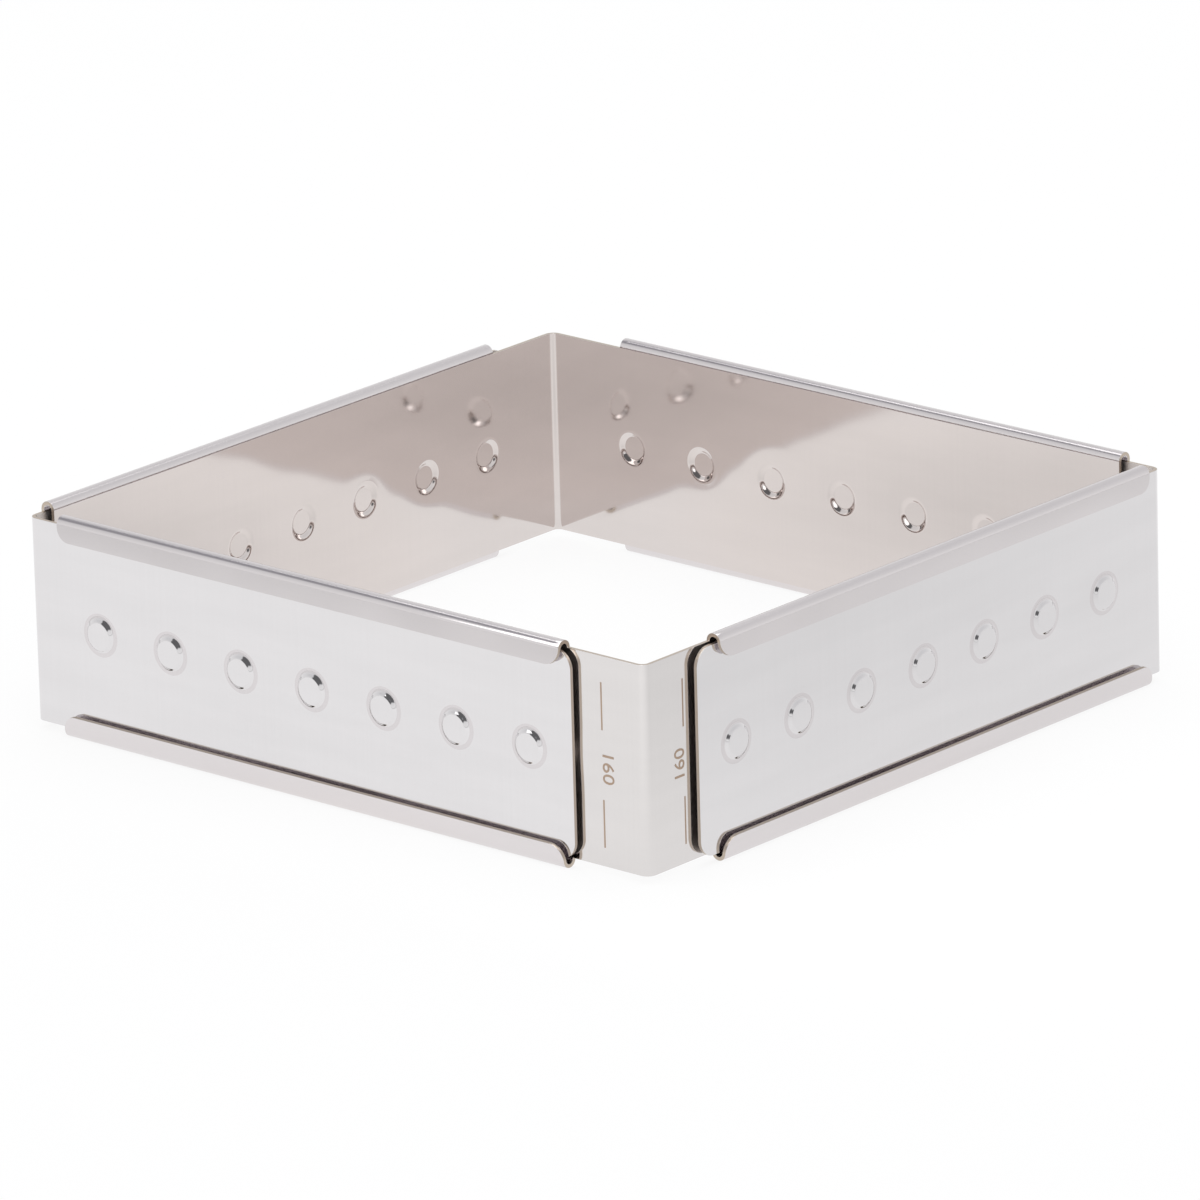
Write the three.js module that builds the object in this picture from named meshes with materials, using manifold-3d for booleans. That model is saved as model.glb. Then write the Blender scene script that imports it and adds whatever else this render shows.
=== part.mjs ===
// Adjustable cake frame of bright stainless sheet.
//
// Four L-shaped corner plates make a rectangle without a floor. The front and back plates have rails rolled
// outwards along the top and bottom of both arms. The left and right plates are plain and slide in those
// rails, outside the rail plates. Bumps pressed into every arm drop into each other at each size of the scale.
//
// Millimetres, +Z up. The frame stands on z = 0, centred on the Z axis. Its front-left side runs along X.

import * as THREE from "three";
import { mergeVertices } from "three/addons/utils/BufferGeometryUtils.js";
import Module from "manifold-3d";

// Clear inside size as the frame stands, and the smallest one on its scale.
const insideX = 166.7;
const insideY = 162.7;
const smallestInside = 160;

// Sheet, and the room between a rail plate and the plain plate that slides outside it.
const sheet = 0.8;
const plateGap = 0.9;
const foldRadius = 1.4;

// Plain plates.
const plainHeight = 45;
const plainArm = 151.6;
const plainCornerRadius = 4;

// Rolled rails: where they start from the fold, their roll, and the lip that holds the plain plate in.
const railStart = 20.5;
const rollRadius = 0.7;
const edgeClearance = 0.5;
const lipClearance = 0.4;
const lipHeight = 5.1;
const lipFlare = THREE.MathUtils.degToRad(8);
const lipCornerRadius = 4;
const armEndClearance = 0.3;

// Pressed bumps.
const bumpCount = 7;
const bumpPitch = 20;
const plainBumpInset = 20;
const bumpBaseRadius = 4.4;
const bumpTopRadius = 3.1;
const plainBumpHeight = 0.85;
const railBumpHeight = 0.6;

// Steps of a quarter turn on folds and rolls, sides of a bump, and how far a cut runs past what it cuts.
const quarterSteps = 4;
const bumpSides = 12;
const cutMargin = 1;

// From the outside of a plain fold to the outside of the rail fold at the other end of the same side.
const plateOffset = sheet + plateGap;
const foldToFold = (inside) => inside + 2 * sheet + plateOffset;
const railArm = foldToFold(smallestInside) - plateOffset - sheet - armEndClearance;
const plainFoldX = (foldToFold(insideX) + plateOffset) / 2;
const plainFoldY = (foldToFold(insideY) + plateOffset) / 2;
const railFoldX = plainFoldX - plateOffset;
const railFoldY = plainFoldY - plateOffset;

// At the smallest size every bump of a rail arm lies behind a bump of the plain arm.
const bumpRow = (bumpCount - 1) * bumpPitch;
const railBumpInset = foldToFold(smallestInside) - bumpRow - plainBumpInset;

const railPlateHeight = plainHeight + 2 * edgeClearance;
const frameHeight = railPlateHeight + 2 * (rollRadius + sheet);
const slotWidth = plateOffset + lipClearance;

const wasm = await Module();
wasm.setup();

// Every corner plate is modelled with the outside of its fold at the origin, one arm along +X with its
// outside facing -Y, the other along +Y with its outside facing -X, and its middle height at z = 0.
const axisX = new THREE.Vector3(1, 0, 0);
const axisY = new THREE.Vector3(0, 1, 0);
const axisZ = new THREE.Vector3(0, 0, 1);
const outwards = axisY.clone().negate();
const standInArm = new THREE.Matrix4().makeBasis(axisX, axisZ, outwards);
const runAlongArm = new THREE.Matrix4().makeBasis(outwards, axisZ, axisX.clone().negate());
const toOtherArm = new THREE.Matrix4().makeBasis(axisY, axisX, axisZ.clone().negate());

function solidOf(geometry) {
  const bare = geometry.clone();
  bare.deleteAttribute("normal");
  bare.deleteAttribute("uv");
  const merged = mergeVertices(bare);
  return new wasm.Manifold(new wasm.Mesh({
    numProp: 3,
    vertProperties: merged.attributes.position.array,
    triVerts: new Uint32Array(merged.index.array),
  }));
}

function geometryOf(solid) {
  const mesh = solid.getMesh();
  const geometry = new THREE.BufferGeometry();
  geometry.setAttribute("position", new THREE.BufferAttribute(mesh.vertProperties, mesh.numProp));
  geometry.setIndex(new THREE.BufferAttribute(mesh.triVerts, 1));
  geometry.computeVertexNormals();
  return geometry;
}

function extruded(shape, depth) {
  // A curve of a shape is cut into twice as many steps as curveSegments says.
  return new THREE.ExtrudeGeometry(shape, { depth, bevelEnabled: false, curveSegments: quarterSteps / 2 });
}

function onBothArms(geometry) {
  return [geometry, geometry.clone().applyMatrix4(toOtherArm)];
}

// The bent blank: two flat arms joined by a fold of constant thickness.
function foldedBlank(arm, height) {
  const outer = foldRadius + sheet;
  const shape = new THREE.Shape();
  shape.moveTo(0, arm);
  shape.lineTo(0, outer);
  shape.absarc(outer, outer, outer, Math.PI, 1.5 * Math.PI, false);
  shape.lineTo(arm, 0);
  shape.lineTo(arm, sheet);
  shape.lineTo(outer, sheet);
  shape.absarc(outer, outer, foldRadius, 1.5 * Math.PI, Math.PI, true);
  shape.lineTo(sheet, arm);
  shape.closePath();
  return extruded(shape, height).translate(0, 0, -height / 2);
}

// A prism that rounds one square corner of an arm. The corner is at x, z, its material lies towards -sideX,
// -sideZ, and the cut goes through the arm from inY to outY.
function cornerCut(x, z, sideX, sideZ, radius, inY, outY) {
  const shape = new THREE.Shape();
  const centreX = x - sideX * radius;
  const centreZ = z - sideZ * radius;
  const fromAngle = sideZ * Math.PI / 2;
  const toAngle = sideX > 0 ? 0 : sideZ * Math.PI;
  shape.moveTo(centreX, z);
  shape.absarc(centreX, centreZ, radius, fromAngle, toAngle, sideX * sideZ > 0);
  shape.lineTo(x + sideX * cutMargin, centreZ);
  shape.lineTo(x + sideX * cutMargin, z + sideZ * cutMargin);
  shape.lineTo(centreX, z + sideZ * cutMargin);
  shape.closePath();
  return extruded(shape, inY - outY).applyMatrix4(standInArm).translate(0, inY, 0);
}

// Rail section in outward distance from the plate's inside and in height: up the plate's edge, over the roll
// and down the lip, which flares away from the plain plate.
function railSection(side) {
  const edge = railPlateHeight / 2;
  const outer = rollRadius + sheet;
  const nearCentre = outer;
  const farCentre = sheet + slotWidth - rollRadius;
  const lipEnd = edge + outer - lipHeight;
  const down = new THREE.Vector2(Math.sin(lipFlare), -Math.cos(lipFlare));
  const across = new THREE.Vector2(Math.cos(lipFlare), Math.sin(lipFlare));
  const arcEnd = across.clone().multiplyScalar(rollRadius).add(new THREE.Vector2(farCentre, edge));
  const lipLength = (arcEnd.y - lipEnd) / Math.cos(lipFlare);
  const insideTip = arcEnd.clone().addScaledVector(down, lipLength);
  const outsideTip = insideTip.clone().addScaledVector(across, sheet);
  const points = new THREE.Path();
  points.moveTo(0, edge - sheet);
  points.absarc(nearCentre, edge, outer, Math.PI, Math.PI / 2, true);
  points.absarc(farCentre, edge, outer, Math.PI / 2, lipFlare, true);
  points.lineTo(outsideTip.x, outsideTip.y);
  points.lineTo(insideTip.x, insideTip.y);
  points.absarc(farCentre, edge, rollRadius, lipFlare, Math.PI / 2, false);
  points.absarc(nearCentre, edge, rollRadius, Math.PI / 2, Math.PI, false);
  points.lineTo(sheet, edge - sheet);
  const outline = points.getPoints(quarterSteps / 2).map((p) => new THREE.Vector2(p.x, side * p.y));
  return new THREE.Shape(outline);
}

function rails() {
  return [1, -1].map((side) => extruded(railSection(side), railArm - railStart)
    .applyMatrix4(runAlongArm)
    .translate(railArm, sheet, 0));
}

// Cuts that round the free corners of the lips and leave the plate behind them whole.
function lipCuts() {
  const lipEdge = frameHeight / 2 - lipHeight;
  const behindLip = -plateGap;
  const pastLip = -(slotWidth + lipHeight);
  const cuts = [];
  for (const side of [1, -1]) {
    for (const [x, sideX] of [[railStart, -1], [railArm, 1]]) {
      cuts.push(cornerCut(x, side * lipEdge, sideX, -side, lipCornerRadius, behindLip, pastLip));
    }
  }
  return cuts;
}

function plainCornerCuts() {
  return [1, -1].map((side) =>
    cornerCut(plainArm, side * plainHeight / 2, 1, side, plainCornerRadius, sheet + cutMargin, -cutMargin));
}

// A cone between two depths of an arm, at the middle of its height, for pressing bumps.
function cone(x, innerY, innerRadius, outerY, outerRadius) {
  return new THREE.CylinderGeometry(innerRadius, outerRadius, innerY - outerY, bumpSides)
    .translate(x, (innerY + outerY) / 2, 0);
}

// The bump stands out of the arm's outside and leaves a hollow of the same depth behind it, with the sheet's
// thickness kept on the slope.
function pressBumps(plate, inset, height) {
  const slope = (bumpBaseRadius - bumpTopRadius) / height;
  const wallShift = sheet * Math.tan(Math.atan(1 / slope) / 2);
  const root = sheet / 2;
  let pressed = plate;
  for (let i = 0; i < bumpCount; i += 1) {
    const x = inset + i * bumpPitch;
    const bump = cone(x, root, bumpBaseRadius + slope * root, -height, bumpTopRadius);
    for (const geometry of onBothArms(bump)) {
      pressed = pressed.add(solidOf(geometry));
    }
    const mouthRadius = bumpBaseRadius - wallShift + slope * cutMargin;
    const hollow = cone(x, sheet + cutMargin, mouthRadius, sheet - height, bumpTopRadius - wallShift);
    for (const geometry of onBothArms(hollow)) {
      pressed = pressed.subtract(solidOf(geometry));
    }
  }
  return pressed;
}

function railPlate() {
  let plate = solidOf(foldedBlank(railArm, railPlateHeight));
  for (const rail of rails().flatMap(onBothArms)) {
    plate = plate.add(solidOf(rail));
  }
  for (const cut of lipCuts().flatMap(onBothArms)) {
    plate = plate.subtract(solidOf(cut));
  }
  return geometryOf(pressBumps(plate, railBumpInset, railBumpHeight));
}

function plainPlate() {
  let plate = solidOf(foldedBlank(plainArm, plainHeight));
  for (const cut of plainCornerCuts().flatMap(onBothArms)) {
    plate = plate.subtract(solidOf(cut));
  }
  return geometryOf(pressBumps(plate, plainBumpInset, plainBumpHeight));
}

function brightSteel() {
  return new THREE.MeshStandardMaterial({ color: 0xd8d6d6, metalness: 1, roughness: 0.22 });
}

function cornerPlate(name, geometry, x, y, quarterTurns) {
  const mesh = new THREE.Mesh(geometry, brightSteel());
  mesh.name = name;
  mesh.position.set(x, y, 0);
  mesh.rotation.z = quarterTurns * Math.PI / 2;
  return mesh;
}

const railGeometry = railPlate();
const plainGeometry = plainPlate();

const cakeFrame = new THREE.Group();
cakeFrame.name = "adjustable_cake_frame";
cakeFrame.position.z = frameHeight / 2;
cakeFrame.add(
  cornerPlate("front_rail_corner", railGeometry, railFoldX, -railFoldY, 1),
  cornerPlate("back_rail_corner", railGeometry, -railFoldX, railFoldY, -1),
  cornerPlate("left_slide_corner", plainGeometry, -plainFoldX, -plainFoldY, 0),
  cornerPlate("right_slide_corner", plainGeometry, plainFoldX, plainFoldY, 2),
);
cakeFrame.updateMatrixWorld(true);

export default cakeFrame;
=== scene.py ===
import math

import bmesh
import bpy
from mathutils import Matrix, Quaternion, Vector


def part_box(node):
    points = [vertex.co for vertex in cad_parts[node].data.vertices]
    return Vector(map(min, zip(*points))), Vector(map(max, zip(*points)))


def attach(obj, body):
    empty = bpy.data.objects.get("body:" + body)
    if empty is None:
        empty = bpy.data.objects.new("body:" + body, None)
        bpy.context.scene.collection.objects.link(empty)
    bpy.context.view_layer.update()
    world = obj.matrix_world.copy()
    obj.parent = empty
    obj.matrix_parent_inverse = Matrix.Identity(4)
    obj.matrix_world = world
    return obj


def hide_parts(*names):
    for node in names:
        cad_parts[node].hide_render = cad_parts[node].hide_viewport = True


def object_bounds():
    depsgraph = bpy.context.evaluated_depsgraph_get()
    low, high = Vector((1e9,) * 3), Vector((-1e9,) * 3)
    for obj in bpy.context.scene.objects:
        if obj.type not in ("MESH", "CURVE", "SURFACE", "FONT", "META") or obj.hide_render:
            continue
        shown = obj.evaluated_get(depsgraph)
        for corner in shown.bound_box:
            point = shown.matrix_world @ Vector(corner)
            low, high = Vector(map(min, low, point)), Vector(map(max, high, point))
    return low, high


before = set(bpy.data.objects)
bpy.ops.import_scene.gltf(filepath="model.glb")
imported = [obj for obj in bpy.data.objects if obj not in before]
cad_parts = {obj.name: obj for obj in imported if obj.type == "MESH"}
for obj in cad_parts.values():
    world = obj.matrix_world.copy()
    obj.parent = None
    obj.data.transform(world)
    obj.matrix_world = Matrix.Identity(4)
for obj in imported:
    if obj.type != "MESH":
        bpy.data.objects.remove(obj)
cad_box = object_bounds()


# Camera: a long lens that looks down on the table at 18 degrees, with the front fold turned almost straight
# at it. It is rolled a little, because the folds lean to the right going down.
MM = 0.001
azimuth = math.radians(41.44)
elevation = math.radians(18.154)
camera_roll = math.radians(-1.55)
camera_distance = 2549 * MM

middle = (cad_box[0] + cad_box[1]) / 2
towards_camera = Vector((
    math.sin(azimuth) * math.cos(elevation),
    -math.cos(azimuth) * math.cos(elevation),
    math.sin(elevation),
))
bpy.ops.object.select_all(action="DESELECT")
bpy.ops.object.camera_add(location=middle + towards_camera * camera_distance)
camera = bpy.context.object
camera.rotation_mode = "QUATERNION"
camera.rotation_quaternion = towards_camera.to_track_quat("Z", "Y") @ Quaternion((0, 0, 1), camera_roll)
camera.data.lens = 361
camera.data.sensor_width = 36
camera.data.shift_x = 0.0012
camera.data.shift_y = -0.0054
camera.data.clip_end = 50
bpy.context.scene.camera = camera
bpy.context.scene.view_settings.view_transform = "Standard"


# Studio: a white table top that runs out past the picture, one large soft lamp overhead and a small card
# close in front. The room is pale low down, with three dim patches and a bright one for the steel to mirror.
table_radius = 6
table_white = (0.96, 0.96, 0.96, 1)
shown_white_share = 0.87
# Painted warm shade on the table inside the frame, as the steel mirrors it.
painted_warm_shade_inside = (1, 0.985, 0.975, 1)
room_low = (0.95, 0.95, 0.95, 1)
room_high = (0.70, 0.70, 0.715, 1)
half_dim = (0.33, 0.33, 0.355, 1)
dim = (0.14, 0.14, 0.145, 1)
bright = (1.5, 1.5, 1.55, 1)


def joined(tree, start, end):
    """Links one socket to another."""
    tree.links.new(start, end)


bpy.ops.object.select_all(action="DESELECT")
bpy.ops.mesh.primitive_circle_add(vertices=96, radius=table_radius, fill_type="NGON", location=(0, 0, 0))
table_top = bpy.context.object
table_top.name = "table_top"
table_paint = bpy.data.materials.new("white_table")
table_paint.use_nodes = True
tree = table_paint.node_tree
tree.nodes.clear()
rays = tree.nodes.new("ShaderNodeLightPath")
seen_or_mirrored = tree.nodes.new("ShaderNodeMath")
seen_or_mirrored.operation = "MAXIMUM"
joined(tree, rays.outputs["Is Camera Ray"], seen_or_mirrored.inputs[0])
joined(tree, rays.outputs["Is Glossy Ray"], seen_or_mirrored.inputs[1])
share = tree.nodes.new("ShaderNodeMath")
share.operation = "MULTIPLY"
joined(tree, seen_or_mirrored.outputs[0], share.inputs[0])
share.inputs[1].default_value = shown_white_share
matt = tree.nodes.new("ShaderNodeBsdfDiffuse")
matt.inputs["Color"].default_value = table_white
place = tree.nodes.new("ShaderNodeTexCoord")


def by_distance(centre, near, far, at_near, at_far):
    """A value that changes softly with the distance from a point of the table."""
    away = tree.nodes.new("ShaderNodeVectorMath")
    away.operation = "DISTANCE"
    away.inputs[1].default_value = centre
    joined(tree, place.outputs["Object"], away.inputs[0])
    change = tree.nodes.new("ShaderNodeMapRange")
    change.interpolation_type = "SMOOTHSTEP"
    change.inputs["From Min"].default_value = near
    change.inputs["From Max"].default_value = far
    change.inputs["To Min"].default_value = at_near
    change.inputs["To Max"].default_value = at_far
    joined(tree, away.outputs["Value"], change.inputs["Value"])
    return change.outputs["Result"]


# The table as the steel mirrors it has painted light and shade: a painted pool of light round the frame, a
# painted glow in front, and painted shade to the right and inside the frame.
painted_pool_and_shade = by_distance(centre=(0, 0, 0), near=0.30, far=0.62, at_near=1, at_far=0.70)
painted_front_glow = by_distance(centre=(0.16, -0.18, 0), near=0.03, far=0.14, at_near=0.05, at_far=0)
painted_right_shade = by_distance(centre=(0.30, 0.04, 0), near=0.10, far=0.30, at_near=-0.17, at_far=0)
painted_inner_shade = by_distance(centre=(-0.01, 0, 0), near=0.01, far=0.088, at_near=-0.17, at_far=0)
within_frame = by_distance(centre=(0, 0, 0), near=0.075, far=0.10, at_near=1, at_far=0)
for spot in (painted_front_glow, painted_right_shade, painted_inner_shade):
    added = tree.nodes.new("ShaderNodeMath")
    added.operation = "ADD"
    joined(tree, painted_pool_and_shade, added.inputs[0])
    joined(tree, spot, added.inputs[1])
    painted_pool_and_shade = added.outputs[0]
brightness = tree.nodes.new("ShaderNodeMix")
joined(tree, rays.outputs["Is Camera Ray"], brightness.inputs["Factor"])
joined(tree, painted_pool_and_shade, brightness.inputs["A"])
brightness.inputs["B"].default_value = 1
# Inside the frame the mirrored table is painted warmer, a painted warm shade.
painted_warmth = tree.nodes.new("ShaderNodeMix")
painted_warmth.data_type = "RGBA"
painted_warmth.inputs["A"].default_value = (1, 1, 1, 1)
painted_warmth.inputs["B"].default_value = painted_warm_shade_inside
inside = tree.nodes.new("ShaderNodeMath")
inside.operation = "SUBTRACT"
joined(tree, within_frame, inside.inputs[0])
joined(tree, rays.outputs["Is Camera Ray"], inside.inputs[1])
inside.use_clamp = True
joined(tree, inside.outputs[0], painted_warmth.inputs["Factor"])
white = tree.nodes.new("ShaderNodeEmission")
joined(tree, painted_warmth.outputs["Result"], white.inputs["Color"])
joined(tree, brightness.outputs["Result"], white.inputs["Strength"])
mixed = tree.nodes.new("ShaderNodeMixShader")
joined(tree, share.outputs[0], mixed.inputs[0])
joined(tree, matt.outputs[0], mixed.inputs[1])
joined(tree, white.outputs[0], mixed.inputs[2])
out = tree.nodes.new("ShaderNodeOutputMaterial")
joined(tree, mixed.outputs[0], out.inputs["Surface"])
table_top.data.materials.append(table_paint)

room = bpy.data.worlds.new("studio_room")
room.use_nodes = True
bpy.context.scene.world = room
tree = room.node_tree
tree.nodes.clear()
direction = tree.nodes.new("ShaderNodeTexCoord")
parts = tree.nodes.new("ShaderNodeSeparateXYZ")
joined(tree, direction.outputs["Generated"], parts.inputs[0])
by_height = tree.nodes.new("ShaderNodeValToRGB")
by_height.color_ramp.elements[0].position = 0.0
by_height.color_ramp.elements[0].color = room_low
by_height.color_ramp.elements[1].position = 0.8
by_height.color_ramp.elements[1].color = room_high
joined(tree, parts.outputs["Z"], by_height.inputs[0])


def patched(lit, towards, starts, full, colour):
    """The room with a round patch of another colour. It starts and is full so many degrees off its middle."""
    facing = tree.nodes.new("ShaderNodeVectorMath")
    facing.operation = "DOT_PRODUCT"
    facing.inputs[1].default_value = Vector(towards).normalized()
    joined(tree, direction.outputs["Generated"], facing.inputs[0])
    cover = tree.nodes.new("ShaderNodeMapRange")
    cover.interpolation_type = "SMOOTHSTEP"
    cover.inputs["From Min"].default_value = math.cos(math.radians(starts))
    cover.inputs["From Max"].default_value = math.cos(math.radians(full))
    joined(tree, facing.outputs["Value"], cover.inputs["Value"])
    patch = tree.nodes.new("ShaderNodeMix")
    patch.data_type = "RGBA"
    joined(tree, cover.outputs["Result"], patch.inputs["Factor"])
    joined(tree, lit, patch.inputs["A"])
    patch.inputs["B"].default_value = colour
    return patch.outputs["Result"]


lit = by_height.outputs["Color"]
lit = patched(lit, towards=(-0.63, -0.09, 0.77), starts=25, full=9, colour=half_dim)
lit = patched(lit, towards=(-0.02, -0.81, 0.50), starts=27, full=20, colour=dim)
lit = patched(lit, towards=(0.94, -0.24, 0.26), starts=13, full=6, colour=dim)
lit = patched(lit, towards=(0.34, -0.62, 0.70), starts=17, full=10, colour=bright)
rays = tree.nodes.new("ShaderNodeLightPath")
lit_room = tree.nodes.new("ShaderNodeBackground")
joined(tree, lit, lit_room.inputs["Color"])
plain_white = tree.nodes.new("ShaderNodeBackground")
plain_white.inputs["Color"].default_value = (1, 1, 1, 1)
seen = tree.nodes.new("ShaderNodeMixShader")
joined(tree, rays.outputs["Is Camera Ray"], seen.inputs[0])
joined(tree, lit_room.outputs[0], seen.inputs[1])
joined(tree, plain_white.outputs[0], seen.inputs[2])
out = tree.nodes.new("ShaderNodeOutputWorld")
joined(tree, seen.outputs[0], out.inputs["Surface"])


def soft_lamp(name, place, aim, size, power):
    """A flat soft lamp, as wide and high as its size says, aimed at a point and kept out of the picture."""
    bpy.ops.object.light_add(type="AREA", location=place)
    lamp = bpy.context.object
    lamp.name = name
    lamp.data.shape = "RECTANGLE"
    lamp.data.size, lamp.data.size_y = size
    lamp.data.energy = power
    lamp.rotation_euler = (Vector(place) - Vector(aim)).to_track_quat("Z", "Y").to_euler()
    lamp.visible_camera = False


soft_lamp("overhead_soft_lamp", place=(-0.1, 0.1, 1.6), aim=middle, size=(1.7, 1.7), power=12)
soft_lamp(
    "front_card", place=(0.055, -0.13, 0.155), aim=(0.055, 0.08, 0.155), size=(0.13, 0.16), power=0.09,
)
bpy.context.scene.cycles.glossy_bounces = 12


# Plain corners: the left and the right piece are strips of bright stainless sheet, folded once at right
# angles, with seven bumps pressed outwards along each arm and the free corners rounded. They slide in the
# rails of the other two. Their inner faces are duller, and a darker, warmer ring is painted round the foot
# of each bump, a painted shade for how the foot's curve mirrors the room.
sheet = 0.8 * MM
fold_outside = 2.2 * MM
fold_steps = 6
bump_count = 7
bump_pitch = 20 * MM
cell_parts = 16
dish_radius = 9.6 * MM
dish_rise = 0.07 * MM
foot_softness = 1.8
plain_height = 45 * MM
plain_arm = 151.6 * MM
plain_bump_inset = 20 * MM
plain_bump_foot = 4.8 * MM
plain_bump_top = 2.85 * MM
plain_bump_height = 0.85 * MM
plain_corner_radius = 4 * MM
# Width of the painted ring of shade round each bump's foot.
painted_ring_width = 1.0 * MM
edge_break = 0.2 * MM
NEAR = 0.02 * MM
INWARDS, OUTWARDS = -1, 1


def pick(kind, wanted):
    """Selects, in edit mode, the vertices, edges or faces that lie wholly where wanted says."""
    mesh = bpy.context.object.data
    bpy.ops.mesh.select_all(action="DESELECT")
    bpy.ops.mesh.select_mode(type=kind)
    shape = bmesh.from_edit_mesh(mesh)
    if kind == "VERT":
        chosen = [corner for corner in shape.verts if wanted(corner.co)]
    else:
        every = shape.edges if kind == "EDGE" else shape.faces
        chosen = [element for element in every if all(wanted(corner.co) for corner in element.verts)]
    for element in chosen:
        element.select_set(True)
    shape.select_flush_mode()
    bmesh.update_edit_mesh(mesh)


def finish_modifier(piece, kind, **settings):
    """Adds one modifier to a piece and applies it."""
    modifier = piece.modifiers.new(kind.lower(), kind)
    for setting, value in settings.items():
        setattr(modifier, setting, value)
    bpy.ops.object.modifier_apply(modifier=modifier.name)


def pressed_arm(name, height, length, bump_inset, bump, level):
    """One arm lying flat along X, its outside up: a row of bumps in a strip that ends at the fold's start.

    The bump is its foot's radius, its top's radius and its height. The sheet round it is drawn in a little.
    """
    dish_rings = 7
    bump_rings = 12
    bump_foot, bump_top, bump_height = bump
    bpy.ops.object.select_all(action="DESELECT")
    bpy.ops.mesh.primitive_plane_add(size=bump_pitch)
    arm = bpy.context.object
    arm.name = name
    bpy.ops.object.mode_set(mode="EDIT")
    bpy.ops.mesh.select_mode(type="EDGE")
    bpy.ops.mesh.select_all(action="SELECT")
    bpy.ops.mesh.delete(type="ONLY_FACE")
    bpy.ops.mesh.select_all(action="SELECT")
    bpy.ops.mesh.subdivide(number_cuts=cell_parts - 1)
    bpy.ops.mesh.extrude_region_move()
    bpy.ops.transform.tosphere(value=1)
    shape = bmesh.from_edit_mesh(arm.data)
    radius = next(corner.co.length for corner in shape.verts if corner.select)
    bpy.ops.transform.resize(value=(dish_radius / radius,) * 2 + (1,), center_override=(0, 0, 0))
    profile = [(dish_radius, 0)]
    for ring in range(1, dish_rings + 1):
        share = ring / dish_rings
        profile.append((dish_radius + (bump_foot - dish_radius) * share, dish_rise * share * share))
    for ring in range(1, bump_rings + 1):
        share = ring / bump_rings
        eased = share ** foot_softness
        risen = eased ** 2 * (3 - 2 * eased)
        radius = bump_foot + (bump_top - bump_foot) * share
        profile.append((radius, dish_rise + (bump_height - dish_rise) * risen))
    for (radius, risen), (next_radius, next_risen) in zip(profile, profile[1:]):
        bpy.ops.mesh.extrude_region_move(TRANSFORM_OT_translate={"value": (0, 0, next_risen - risen)})
        bpy.ops.transform.resize(value=(next_radius / radius,) * 2 + (1,), center_override=(0, 0, 0))
    bpy.ops.mesh.edge_face_add()
    bpy.ops.object.mode_set(mode="OBJECT")
    finish_modifier(
        arm, "ARRAY", count=bump_count, use_relative_offset=False, use_constant_offset=True,
        constant_offset_displace=(bump_pitch, 0, 0), use_merge_vertices=True, merge_threshold=NEAR,
    )
    bpy.ops.object.mode_set(mode="EDIT")
    bpy.ops.mesh.select_all(action="SELECT")
    bpy.ops.transform.translate(value=(bump_inset, 0, level))
    for side in (-1, 1):
        pick("EDGE", lambda place: abs(place.y - side * bump_pitch / 2) < NEAR)
        margin = side * (height - bump_pitch) / 2
        bpy.ops.mesh.extrude_region_move(TRANSFORM_OT_translate={"value": (0, margin, 0)})
    strip_start = bump_inset - bump_pitch / 2
    strip_end = bump_inset + (bump_count - 0.5) * bump_pitch
    pick("EDGE", lambda place: abs(place.x - strip_start) < NEAR)
    bpy.ops.mesh.extrude_region_move(TRANSFORM_OT_translate={"value": (fold_outside - strip_start, 0, 0)})
    pick("EDGE", lambda place: abs(place.x - strip_end) < NEAR)
    bpy.ops.mesh.extrude_region_move(TRANSFORM_OT_translate={"value": (length - strip_end, 0, 0)})
    bpy.ops.object.mode_set(mode="OBJECT")
    return arm


def round_corner(wanted, corner, outwards_x, outwards_y, radius):
    """Rounds one free corner of the faces that wanted picks, one thin slice after another."""
    slices = 9
    centre = Vector((corner[0] - outwards_x * radius, corner[1] - outwards_y * radius, 0))
    for cut in range(1, slices):
        turn = math.pi / 2 * cut / slices
        outwards = Vector((outwards_x * math.cos(turn), outwards_y * math.sin(turn), 0))
        pick("FACE", wanted)
        bpy.ops.mesh.bisect(
            plane_co=centre + outwards * radius, plane_no=outwards, clear_outer=True, threshold=NEAR / 10,
        )


def fold_and_thicken(arm, grows, far_side):
    """Folds a flat arm, mirrors it into the other arm and gives the sheet its thickness, inwards or outwards.

    Counting on from a face's own material slot, the rim gets the next one and the new face the far_side one.
    """
    bpy.ops.object.mode_set(mode="EDIT")
    pick("EDGE", lambda place: abs(place.x - fold_outside) < NEAR)
    bpy.ops.mesh.spin(
        steps=fold_steps, angle=math.radians(45), center=(fold_outside, 0, -fold_outside), axis=(0, 1, 0),
    )
    bpy.ops.object.mode_set(mode="OBJECT")
    arm.rotation_euler = (math.radians(90), 0, math.radians(-45))
    bpy.ops.object.transform_apply(rotation=True)
    finish_modifier(arm, "MIRROR", use_axis=(False, True, False), use_mirror_merge=True, merge_threshold=NEAR)
    arm.rotation_euler = (0, 0, math.radians(45))
    bpy.ops.object.transform_apply(rotation=True)
    bpy.ops.object.mode_set(mode="EDIT")
    bpy.ops.mesh.select_all(action="SELECT")
    bpy.ops.mesh.remove_doubles(threshold=NEAR / 10)
    bpy.ops.mesh.normals_make_consistent(inside=False)
    bpy.ops.object.mode_set(mode="OBJECT")
    flattest = max(arm.data.polygons, key=lambda face: face.area * abs(face.normal.y))
    if flattest.normal.y > 0:
        bpy.ops.object.mode_set(mode="EDIT")
        bpy.ops.mesh.flip_normals()
        bpy.ops.object.mode_set(mode="OBJECT")
    finish_modifier(
        arm, "SOLIDIFY", thickness=sheet, offset=grows, use_even_offset=True, use_quality_normals=True,
        material_offset=far_side, material_offset_rim=1,
    )


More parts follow.
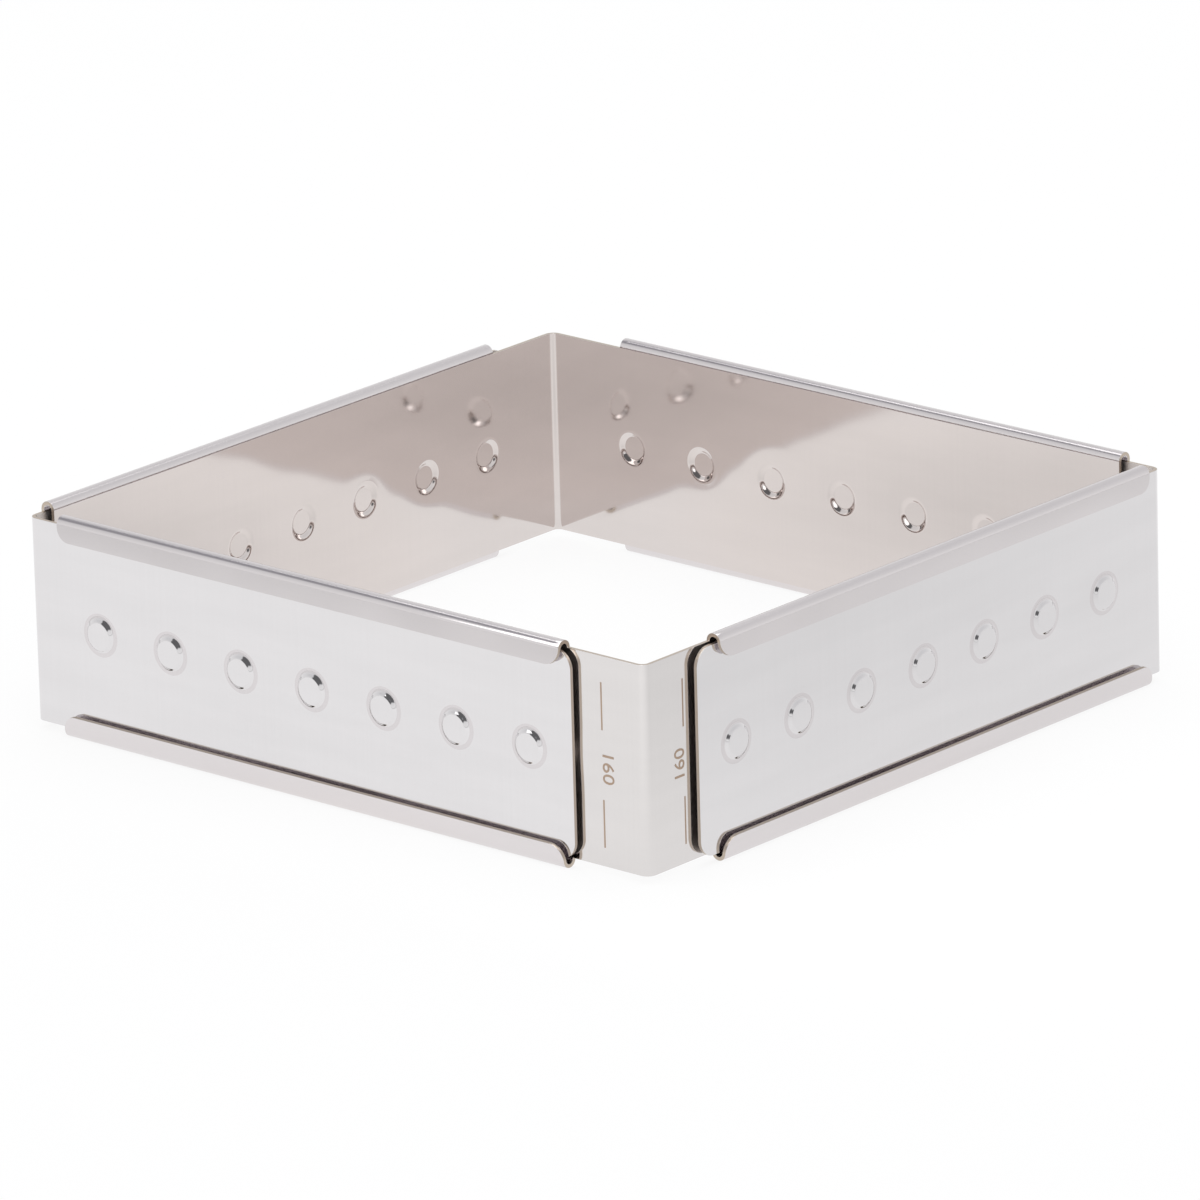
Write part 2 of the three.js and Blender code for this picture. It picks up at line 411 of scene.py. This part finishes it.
def set_down(plate, place, turn):
    """Breaks the cut edges, smooths the sheet and sets a folded plate down in its place."""
    broken_above = math.radians(50)
    smooth_below = math.radians(38)
    finish_modifier(
        plate, "BEVEL", width=edge_break, segments=3, limit_method="ANGLE", angle_limit=broken_above,
        material=0,
    )
    plate.location = place
    plate.rotation_euler = (0, 0, turn)
    bpy.ops.object.transform_apply(location=True, rotation=True)
    bpy.ops.object.shade_smooth_by_angle(angle=smooth_below)
    finish_modifier(plate, "WEIGHTED_NORMAL", mode="FACE_AREA", weight=50, keep_sharp=True)


def turned_copy(plate, name):
    """A copy of a plate, with its own mesh, turned half round the middle of the frame."""
    bpy.ops.object.select_all(action="DESELECT")
    plate.select_set(True)
    bpy.context.view_layer.objects.active = plate
    bpy.ops.object.duplicate(linked=False)
    copy = bpy.context.object
    copy.name = name
    copy.rotation_euler = (0, 0, math.pi)
    bpy.ops.object.transform_apply(rotation=True)
    return copy


def bright_steel(name, colour, dull):
    """Cold-rolled stainless of a colour and roughness.

    It has fine upright lines, faint clouds in the gloss, smears from wiping and slow waves in its face.
    """
    line_gloss = 0.02
    cloud_gloss = 0.03
    line_tint_share = 0.35
    darkest, lightest = 0.978, 1.012
    steel = bpy.data.materials.new(name)
    steel.use_nodes = True
    tree = steel.node_tree
    shader = tree.nodes["Principled BSDF"]
    shader.inputs["Metallic"].default_value = 1
    place = tree.nodes.new("ShaderNodeTexCoord")
    upright = tree.nodes.new("ShaderNodeMapping")
    upright.inputs["Scale"].default_value = (2200, 2200, 16)
    joined(tree, place.outputs["Object"], upright.inputs["Vector"])
    lines = tree.nodes.new("ShaderNodeTexNoise")
    lines.inputs["Scale"].default_value = 1
    lines.inputs["Detail"].default_value = 4
    joined(tree, upright.outputs["Vector"], lines.inputs["Vector"])
    clouds = tree.nodes.new("ShaderNodeTexNoise")
    clouds.inputs["Scale"].default_value = 60
    clouds.inputs["Detail"].default_value = 3
    joined(tree, place.outputs["Object"], clouds.inputs["Vector"])
    gloss = tree.nodes.new("ShaderNodeMath")
    gloss.operation = "MULTIPLY_ADD"
    gloss.inputs[1].default_value = line_gloss
    gloss.inputs[2].default_value = dull - line_gloss / 2
    joined(tree, lines.outputs["Fac"], gloss.inputs[0])
    clouded = tree.nodes.new("ShaderNodeMath")
    clouded.operation = "MULTIPLY_ADD"
    clouded.inputs[1].default_value = cloud_gloss
    joined(tree, clouds.outputs["Fac"], clouded.inputs[0])
    joined(tree, gloss.outputs[0], clouded.inputs[2])
    joined(tree, clouded.outputs[0], shader.inputs["Roughness"])
    wiped = tree.nodes.new("ShaderNodeMapping")
    wiped.inputs["Scale"].default_value = (24, 24, 190)
    joined(tree, place.outputs["Object"], wiped.inputs["Vector"])
    smears = tree.nodes.new("ShaderNodeTexNoise")
    smears.inputs["Scale"].default_value = 1
    smears.inputs["Detail"].default_value = 5
    joined(tree, wiped.outputs["Vector"], smears.inputs["Vector"])
    marked = tree.nodes.new("ShaderNodeMath")
    marked.operation = "MULTIPLY_ADD"
    marked.inputs[1].default_value = line_tint_share
    joined(tree, lines.outputs["Fac"], marked.inputs[0])
    joined(tree, smears.outputs["Fac"], marked.inputs[2])
    tint = tree.nodes.new("ShaderNodeValToRGB")
    tint.color_ramp.elements[0].position = 0.45
    tint.color_ramp.elements[0].color = [darkest * part for part in colour] + [1]
    tint.color_ramp.elements[1].position = 0.9
    tint.color_ramp.elements[1].color = [lightest * part for part in colour] + [1]
    joined(tree, marked.outputs[0], tint.inputs["Fac"])
    joined(tree, tint.outputs["Color"], shader.inputs["Base Color"])
    waves = tree.nodes.new("ShaderNodeTexNoise")
    waves.inputs["Scale"].default_value = 28
    waves.inputs["Detail"].default_value = 1
    joined(tree, place.outputs["Object"], waves.inputs["Vector"])
    slow = tree.nodes.new("ShaderNodeBump")
    slow.inputs["Strength"].default_value = 1
    slow.inputs["Distance"].default_value = 0.5 * MM
    joined(tree, waves.outputs["Fac"], slow.inputs["Height"])
    fine = tree.nodes.new("ShaderNodeBump")
    fine.inputs["Strength"].default_value = 0.02
    fine.inputs["Distance"].default_value = 0.01 * MM
    joined(tree, lines.outputs["Fac"], fine.inputs["Height"])
    joined(tree, slow.outputs["Normal"], fine.inputs["Normal"])
    joined(tree, fine.outputs["Normal"], shader.inputs["Normal"])
    return steel


plain_steel = bright_steel("plain_plate_steel", (0.765, 0.75, 0.758), 0.05)
cut_steel = bright_steel("sheared_edge_steel", (0.55, 0.475, 0.40), 0.32)
rubbed_steel = bright_steel("rubbed_inner_steel", (0.70, 0.66, 0.635), 0.4)
# A darker, warmer steel for the painted ring of shade round each bump's foot.
painted_ring_steel = bright_steel("painted_ring_steel", (0.705, 0.675, 0.683), 0.14)
rubbed_slot = 2
painted_ring_slot = 3

left_corner = pressed_arm(
    "left_plain_corner", plain_height, plain_arm, plain_bump_inset,
    (plain_bump_foot, plain_bump_top, plain_bump_height), 0,
)
bpy.ops.object.mode_set(mode="EDIT")
for side in (-1, 1):
    round_corner(lambda place: True, (plain_arm, side * plain_height / 2), 1, side, plain_corner_radius)
for steel in (plain_steel, cut_steel, rubbed_steel, painted_ring_steel, cut_steel, rubbed_steel):
    left_corner.data.materials.append(steel)


def on_die_mark(place):
    """Whether a point lies on the painted ring of shade round the foot of a bump."""
    from_bump = (place.x - plain_bump_inset + bump_pitch / 2) % bump_pitch - bump_pitch / 2
    return plain_bump_foot - painted_ring_width < math.hypot(from_bump, place.y) < plain_bump_foot + NEAR


# Paints the ring of shade round the foot of each bump.
pick("FACE", on_die_mark)
left_corner.active_material_index = painted_ring_slot
bpy.ops.object.material_slot_assign()
bpy.ops.object.mode_set(mode="OBJECT")
fold_and_thicken(left_corner, INWARDS, rubbed_slot)
left_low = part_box("left_slide_corner")[0]
left_fold = Vector((left_low.x + plain_bump_height, left_low.y + plain_bump_height, middle.z))
set_down(left_corner, left_fold, 0)
right_corner = turned_copy(left_corner, "right_plain_corner")
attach(left_corner, "left")
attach(right_corner, "right")
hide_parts("left_slide_corner")
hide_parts("right_slide_corner")


# Rail corners: the front and the back piece are folded of the same sheet, a little taller. Their top and
# bottom edges are rolled outwards into narrow rails that hold the plain plates; the rails stop short of the
# fold. The rolled rails are duller than the sheet, and the side that holds the cake is painted a little
# warmer and darker, a painted shade for the warm light inside the frame.
rail_height = 45.3 * MM
rail_arm = 160.5 * MM
plate_gap = 0.9 * MM
rail_bump_inset = 23.3 * MM
rail_bump_foot = 4.6 * MM
rail_bump_top = 2.5 * MM
rail_bump_height = 0.75 * MM
rail_start = 20.5 * MM
cell_cuts_before_rail = 6
roll_outside = 1.85 * MM
roll_steps = 18
lip_flare = math.radians(8)
lip_length = 3.6 * MM
lip_corner_radius = 3.6 * MM

front_corner = pressed_arm(
    "front_rail_corner_sheet", rail_height, rail_arm, rail_bump_inset,
    (rail_bump_foot, rail_bump_top, rail_bump_height), -sheet,
)
bpy.ops.object.mode_set(mode="EDIT")
rail_edge = rail_height / 2
cut_by_rail = rail_bump_inset - bump_pitch / 2 + cell_cuts_before_rail * bump_pitch / cell_parts
pick("VERT", lambda place: abs(place.x - cut_by_rail) < NEAR and abs(abs(place.y) - rail_edge) < NEAR)
bpy.ops.transform.translate(value=(rail_start - cut_by_rail, 0, 0))
for side in (-1, 1):
    pick("EDGE", lambda place: abs(place.y - side * rail_edge) < NEAR and place.x > rail_start - NEAR)
    bpy.ops.mesh.spin(
        steps=roll_steps, angle=-side * (math.pi - lip_flare), axis=(1, 0, 0),
        center=(0, side * rail_edge, roll_outside - sheet),
    )
    bpy.ops.mesh.extrude_region_move(TRANSFORM_OT_translate={
        "value": (0, -side * lip_length * math.cos(lip_flare), lip_length * math.sin(lip_flare)),
    })
lip_root = -sheet + roll_outside + roll_outside * math.cos(lip_flare)
lip_edge = rail_edge + roll_outside * math.sin(lip_flare) - lip_length * math.cos(lip_flare)
for side in (-1, 1):
    for end, outwards in ((rail_start, -1), (rail_arm, 1)):
        round_corner(
            lambda place: place.z > lip_root - NEAR and side * place.y > 0,
            (end, side * lip_edge), outwards, -side, lip_corner_radius,
        )
rail_steel = bright_steel("rail_plate_steel", (0.745, 0.72, 0.712), 0.055)
rolled_steel = bright_steel("rolled_rail_steel", (0.75, 0.715, 0.72), 0.16)
# A warmer, darker steel for the inner face: painted shade for the warm light inside the frame.
painted_warm_inside_steel = bright_steel("painted_warm_inside_steel", (0.728, 0.678, 0.66), 0.055)
rolled_slot = 2
painted_warm_inside_slot = 4
for steel in (rail_steel, cut_steel, rolled_steel, cut_steel, painted_warm_inside_steel, cut_steel, rolled_steel):
    front_corner.data.materials.append(steel)
pick("FACE", lambda place: abs(place.y) > rail_edge - NEAR or place.z > lip_root - NEAR)
front_corner.active_material_index = rolled_slot
bpy.ops.object.material_slot_assign()
bpy.ops.object.mode_set(mode="OBJECT")
fold_and_thicken(front_corner, OUTWARDS, painted_warm_inside_slot)
plate_offset = sheet + plate_gap
front_fold = Vector((-left_fold.x - plate_offset, left_fold.y + plate_offset, middle.z))
set_down(front_corner, front_fold, math.radians(90))
back_corner = turned_copy(front_corner, "back_rail_corner_sheet")
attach(front_corner, "front")
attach(back_corner, "back")
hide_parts("front_rail_corner")
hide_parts("back_rail_corner")


# Scale: on both arms of each rail corner, the width in millimetres is etched at the place where a plain
# plate's end then stands. Each mark is a brown line above and below a small number that is turned on its
# side. The numbers are thick enough to show where the sheet rises a little towards a bump.
sizes = range(160, 281, 20)
smallest_reading = 11.7 * MM
line_width = 0.4 * MM
line_depth = 0.03 * MM
upper_line = (6.7 * MM, 17 * MM)
lower_line = (-18.6 * MM, -8.3 * MM)
number_middle = -1.2 * MM
number_length = 6.2 * MM
number_height = 3.0 * MM
number_depth = 0.06 * MM
quarter_turn = math.radians(90)

marks = []
for size in sizes:
    away = smallest_reading + (size - sizes[0]) * MM
    on_first_arm = ((away, 0), (line_width, line_depth), quarter_turn, 0)
    on_second_arm = ((0, away), (line_depth, line_width), -quarter_turn, -quarter_turn)
    for place, line_across, number_turn, arm_turn in (on_first_arm, on_second_arm):
        for low, high in (lower_line, upper_line):
            bpy.ops.object.select_all(action="DESELECT")
            bpy.ops.mesh.primitive_cube_add(size=1, location=(*place, (low + high) / 2))
            line = bpy.context.object
            line.scale = (*line_across, high - low)
            bpy.ops.object.transform_apply(location=True, scale=True)
            marks.append(line)
        bpy.ops.object.select_all(action="DESELECT")
        bpy.ops.object.text_add()
        number = bpy.context.object
        number.data.body = str(size)
        number.data.align_x = "CENTER"
        number.data.extrude = number_depth
        bpy.ops.object.convert(target="MESH")
        number = bpy.context.object
        bpy.context.view_layer.update()
        number.scale = (number_length / number.dimensions.x, number_height / number.dimensions.y, 1)
        bpy.ops.object.transform_apply(scale=True)
        number.rotation_mode = "ZYX"
        number.rotation_euler = (quarter_turn, 0, number_turn)
        bpy.ops.object.transform_apply(rotation=True)
        number.location = (*place, number_middle)
        number.rotation_euler = (0, 0, arm_turn)
        bpy.ops.object.transform_apply(location=True, rotation=True)
        marks.append(number)

bpy.ops.object.select_all(action="DESELECT")
for mark in marks:
    mark.select_set(True)
bpy.context.view_layer.objects.active = marks[0]
bpy.ops.object.join()
front_scale = bpy.context.object
front_scale.name = "front_etched_scale"
front_scale.location = front_fold
front_scale.rotation_euler = (0, 0, quarter_turn)
bpy.ops.object.transform_apply(location=True, rotation=True)
etched = bright_steel("etched_brown_steel", (0.47, 0.355, 0.275), 0.45)
front_scale.data.materials.clear()
front_scale.data.materials.append(etched)
back_scale = turned_copy(front_scale, "back_etched_scale")
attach(front_scale, "front")
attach(back_scale, "back")
